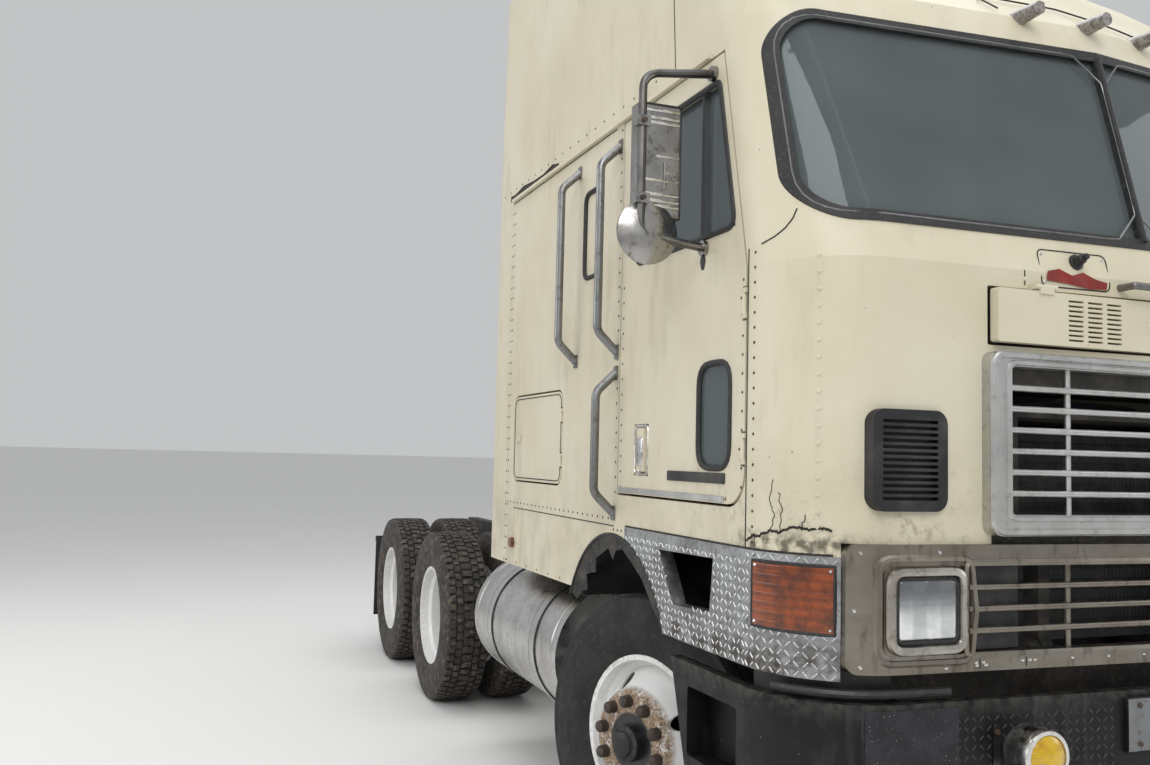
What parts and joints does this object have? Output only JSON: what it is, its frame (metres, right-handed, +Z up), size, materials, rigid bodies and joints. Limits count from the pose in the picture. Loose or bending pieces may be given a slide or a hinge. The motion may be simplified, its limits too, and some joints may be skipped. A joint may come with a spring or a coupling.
{
  "type": "semi truck tractor",
  "caption": "Cream cab-over road tractor with a high-roof sleeper, twin driven axles, polished side tanks and a coupling plate; cab, doors, flap, steering and wheels move.",
  "frame": {"origin": "middle of the truck's footprint on the ground", "axes": "+Z up, the front of the truck faces -Y, the truck's own left side is +X"},
  "size_m": [2.98, 6.26, 4],
  "materials": {
    "cream_paint": "weathered gloss paint",
    "chassis_black": "dull black paint with dirt",
    "bumper_black": "scuffed black paint",
    "engine_iron": "oily cast iron",
    "radiator_core": "dark finned core",
    "polished_aluminium": "polished, dulled by weather",
    "tread_aluminium": "tread plate",
    "chrome_steel": "chrome and bright steel",
    "window_glass": "lightly tinted",
    "black_rubber": "matt",
    "black_plastic": "matt",
    "amber_lens": "ribbed lens",
    "red_lens": "lens",
    "lamp_glass": "reflector behind glass",
    "fog_yellow": "yellow lens in a bright ring",
    "seat_cloth": "worn cloth",
    "dash_plastic": "grained",
    "floor_mat": "dark mat on steel",
    "tyre_rubber": "worn rubber",
    "rim_white": "white paint, rust at the studs"
  },
  "bodies": {
    "chassis": {"frame": "chassis_black", "front_bumper": "bumper_black", "fog_lamps": "fog_yellow", "engine": "engine_iron", "radiator": "radiator_core", "front_axle": "chassis_black", "springs": "chassis_black", "drive_axles": "chassis_black", "fuel_tanks": "polished_aluminium", "deck_plate": "tread_aluminium", "exhaust_stack": "chrome_steel", "mudflaps": "black_rubber", "tail_lamps": "red_lens", "fifth_wheel_mount": "chassis_black"},
    "cab": {"cab_front": "cream_paint", "cab_side_right": "cream_paint", "cab_side_left": "cream_paint", "cab_rear_wall": "cream_paint", "cab_floor": "floor_mat", "roof_fairing": "cream_paint", "windscreen": "window_glass", "windscreen_gasket": "black_rubber", "upper_grille": "polished_aluminium", "lower_grille": "polished_aluminium", "headlamps": "lamp_glass", "front_vents": "black_plastic", "fender_plates": "tread_aluminium", "marker_lamps": "amber_lens", "arch_liners": "black_plastic", "grab_rails": "chrome_steel", "seats": "seat_cloth", "dashboard": "dash_plastic", "sleeper_windows": "cream_paint"},
    "door_right_body": {"door_right": "cream_paint", "door_glass_right": "window_glass", "mirror_right": "chrome_steel"},
    "door_left_body": {"door_left": "cream_paint", "door_glass_left": "window_glass", "mirror_left": "chrome_steel"},
    "luggage_door_right_body": {"luggage_door_right": "cream_paint"},
    "luggage_door_left_body": {"luggage_door_left": "cream_paint"},
    "service_flap_body": {"service_flap": "cream_paint"},
    "coupling": {"fifth_wheel": "chassis_black"},
    "knuckle_right_body": {"knuckle_right": "chassis_black"},
    "knuckle_left_body": {"knuckle_left": "chassis_black"},
    "tie_rod_body": {"tie_rod": "chassis_black"},
    "wheel_front_right": {"tyre_front_right": "tyre_rubber", "rim_front_right": "rim_white"},
    "wheel_front_left": {"tyre_front_left": "tyre_rubber", "rim_front_left": "rim_white"},
    "wheels_drive_1_right": {"tyres_drive_1_right": "tyre_rubber", "rims_drive_1_right": "rim_white"},
    "wheels_drive_1_left": {"tyres_drive_1_left": "tyre_rubber", "rims_drive_1_left": "rim_white"},
    "wheels_drive_2_right": {"tyres_drive_2_right": "tyre_rubber", "rims_drive_2_right": "rim_white"},
    "wheels_drive_2_left": {"tyres_drive_2_left": "tyre_rubber", "rims_drive_2_left": "rim_white"}
  },
  "joints": [
    {"name": "steer_left", "type": "hinge", "parent": "chassis", "child": "knuckle_left_body", "pos_m": [0.86, -1.74, 0.515], "axis": [0, 0, 1], "range_deg": [-56, 18]},
    {"name": "steer_right", "type": "hinge", "parent": "chassis", "child": "knuckle_right_body", "pos_m": [-0.86, -1.74, 0.515], "axis": [0, 0, 1], "range_deg": [-56, 18]},
    {"name": "tie_rod_turn", "type": "hinge", "parent": "knuckle_left_body", "child": "tie_rod_body", "pos_m": [0.8041, -1.5795, 0.385], "axis": [0, 0, 1], "range_deg": [-18, 56]},
    {"name": "front_wheel_left_spin", "type": "hinge", "parent": "knuckle_left_body", "child": "wheel_front_left", "pos_m": [0.9752, -1.6999, 0.515], "axis": [0.9444, 0.3289, 0], "continuous": true},
    {"name": "front_wheel_right_spin", "type": "hinge", "parent": "knuckle_right_body", "child": "wheel_front_right", "pos_m": [-0.9752, -1.7801, 0.515], "axis": [0.9444, 0.3289, 0], "continuous": true},
    {"name": "drive_wheels_1_right_spin", "type": "hinge", "parent": "chassis", "child": "wheels_drive_1_right", "pos_m": [-0.893, 1.155, 0.515], "axis": [1, 0, 0], "continuous": true},
    {"name": "drive_wheels_1_left_spin", "type": "hinge", "parent": "chassis", "child": "wheels_drive_1_left", "pos_m": [0.893, 1.155, 0.515], "axis": [1, 0, 0], "continuous": true},
    {"name": "drive_wheels_2_right_spin", "type": "hinge", "parent": "chassis", "child": "wheels_drive_2_right", "pos_m": [-0.893, 2.475, 0.515], "axis": [1, 0, 0], "continuous": true},
    {"name": "drive_wheels_2_left_spin", "type": "hinge", "parent": "chassis", "child": "wheels_drive_2_left", "pos_m": [0.893, 2.475, 0.515], "axis": [1, 0, 0], "continuous": true},
    {"name": "cab_tilt", "type": "hinge", "parent": "chassis", "child": "cab", "pos_m": [0, -2.94, 1.01], "axis": [1, 0, 0], "range_deg": [0, 60]},
    {"name": "door_right_swing", "type": "hinge", "parent": "cab", "child": "door_right_body", "pos_m": [-1.19, -2.679, 2], "axis": [0, 0, 1], "range_deg": [0, 70]},
    {"name": "door_left_swing", "type": "hinge", "parent": "cab", "child": "door_left_body", "pos_m": [1.19, -2.679, 2], "axis": [0, 0, -1], "range_deg": [0, 70]},
    {"name": "luggage_door_right_swing", "type": "hinge", "parent": "cab", "child": "luggage_door_right_body", "pos_m": [-1.19, -1.164, 1.605], "axis": [0, 0, 1], "range_deg": [0, 90]},
    {"name": "luggage_door_left_swing", "type": "hinge", "parent": "cab", "child": "luggage_door_left_body", "pos_m": [1.19, -1.164, 1.605], "axis": [0, 0, -1], "range_deg": [0, 90]},
    {"name": "service_flap_swing", "type": "hinge", "parent": "cab", "child": "service_flap_body", "pos_m": [0, -3.039, 2.036], "axis": [-1, 0, 0], "range_deg": [0, 80]},
    {"name": "fifth_wheel_tilt", "type": "hinge", "parent": "chassis", "child": "coupling", "pos_m": [0, 1.74, 1.11], "axis": [1, 0, 0], "range_deg": [-12, 12]}
  ],
  "couplings": [
    {"joint": "steer_right", "follows": "steer_left", "ratio": 1},
    {"joint": "tie_rod_turn", "follows": "steer_left", "ratio": -1}
  ]
}
